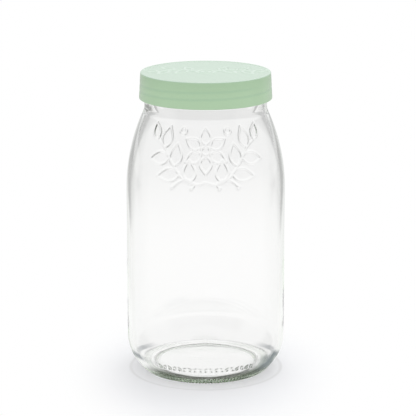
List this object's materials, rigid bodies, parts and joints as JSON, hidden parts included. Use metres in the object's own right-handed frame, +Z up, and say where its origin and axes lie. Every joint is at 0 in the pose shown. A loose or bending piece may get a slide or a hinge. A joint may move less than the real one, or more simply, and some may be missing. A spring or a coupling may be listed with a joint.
{
  "type": "screw-top storage jar",
  "caption": "Tall clear glass storage jar with a wide threaded neck, closed by a pale green moulded screw lid with a ring seal.",
  "frame": {"origin": "centre of the jar's base, on the plane that it stands on", "axes": "+Z up along the axis of the jar and of its screw lid; -Y is the side that faces the viewer in the picture"},
  "size_m": [0.14, 0.14, 0.2685],
  "materials": {
    "glass": "clear polished flint glass with a faint green cast",
    "lid_plastic": "satin moulded polypropylene, mint green",
    "silicone": "milky soft silicone, matt"
  },
  "bodies": {
    "glass_body": {"jar": "glass"},
    "seal_carrier": {"seal": "silicone"},
    "lid_body": {"lid": "lid_plastic"}
  },
  "joints": [
    {"name": "lid_rise", "type": "slide", "parent": "glass_body", "child": "seal_carrier", "axis": [0, 0, 1], "range_m": [0, 0.0196]},
    {"name": "lid_turn", "type": "hinge", "parent": "seal_carrier", "child": "lid_body", "pos_m": [0, 0, 0.2454], "axis": [0, 0, 1], "range_deg": [0, 1170]}
  ],
  "couplings": [
    {"joint": "lid_rise", "follows": "lid_turn", "m_per_rad": 0.00095493}
  ]
}
